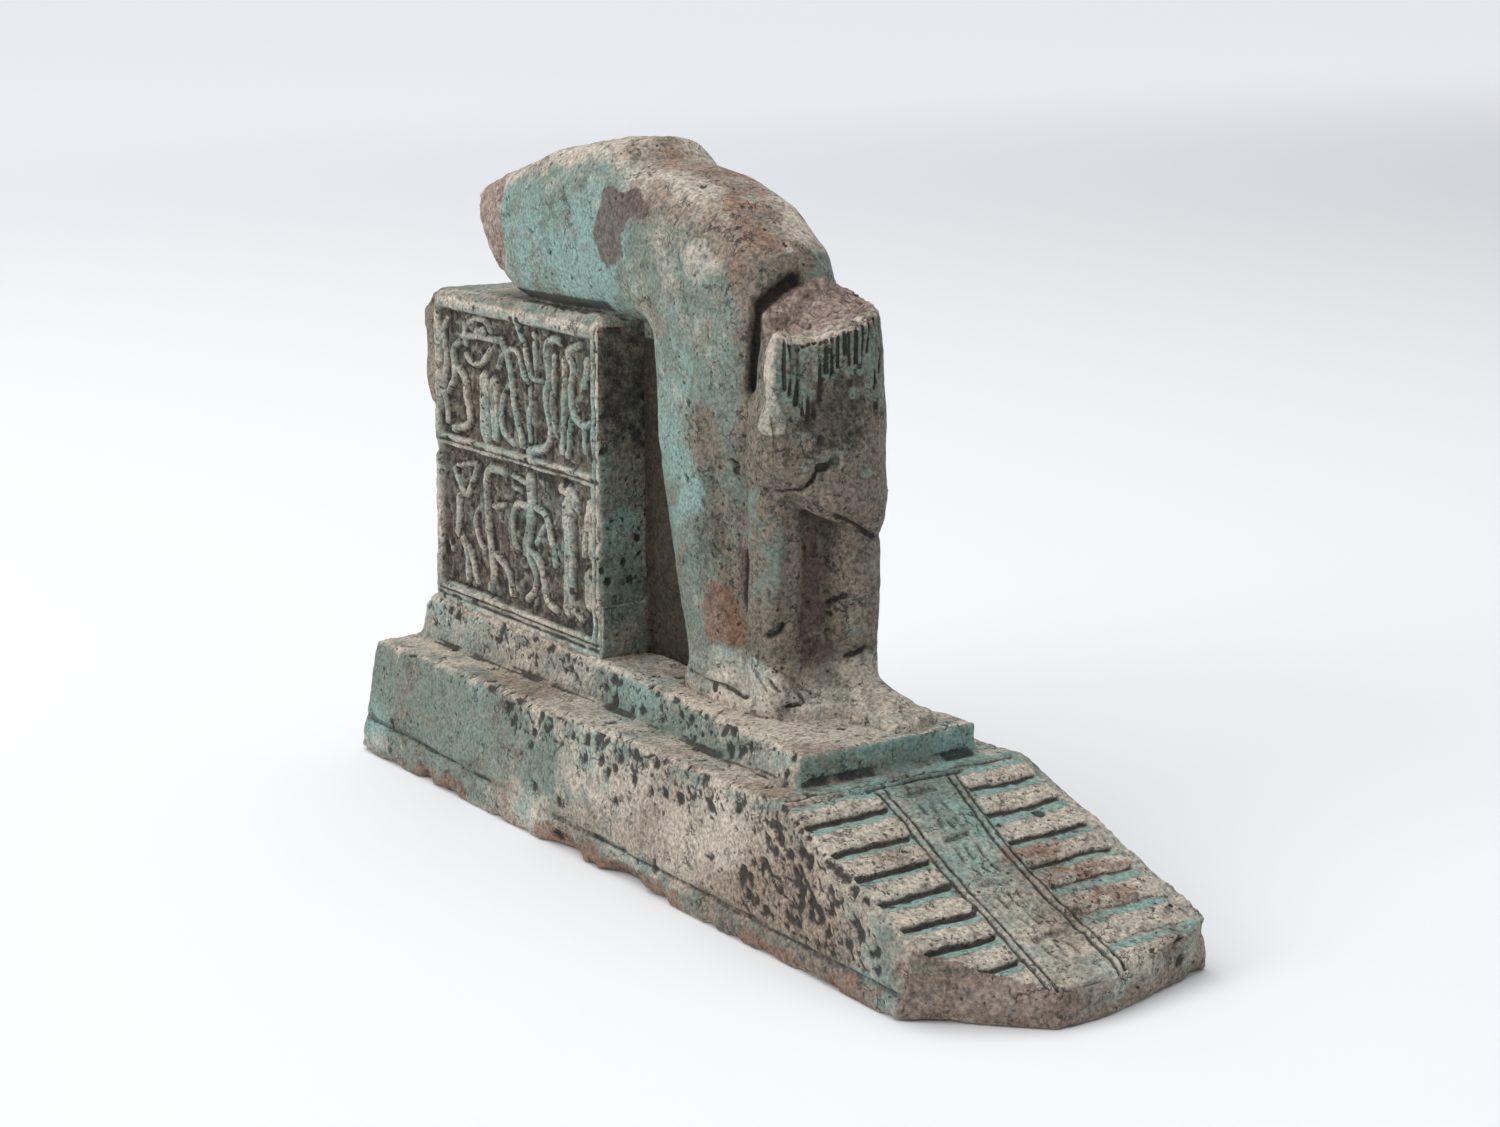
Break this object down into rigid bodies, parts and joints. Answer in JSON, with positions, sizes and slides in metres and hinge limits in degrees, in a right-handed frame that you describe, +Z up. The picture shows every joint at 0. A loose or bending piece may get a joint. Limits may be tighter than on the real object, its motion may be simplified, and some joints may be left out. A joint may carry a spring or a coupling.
{
  "type": "figurine",
  "caption": "Broken glazed faience group of a seated and a smaller standing figure on a long plinth with a stepped ramp.",
  "frame": {"origin": "centre of the underside of the plinth, on the ground", "axes": "+Z up, +Y from the ramp to the back of the throne along the plinth, X across it"},
  "size_m": [0.0316, 0.1146, 0.073],
  "materials": {
    "faience": "matte weathered blue-green glaze over a pale grey-brown body"
  },
  "bodies": {
    "root": {"figurine": "faience"}
  },
  "joints": []
}
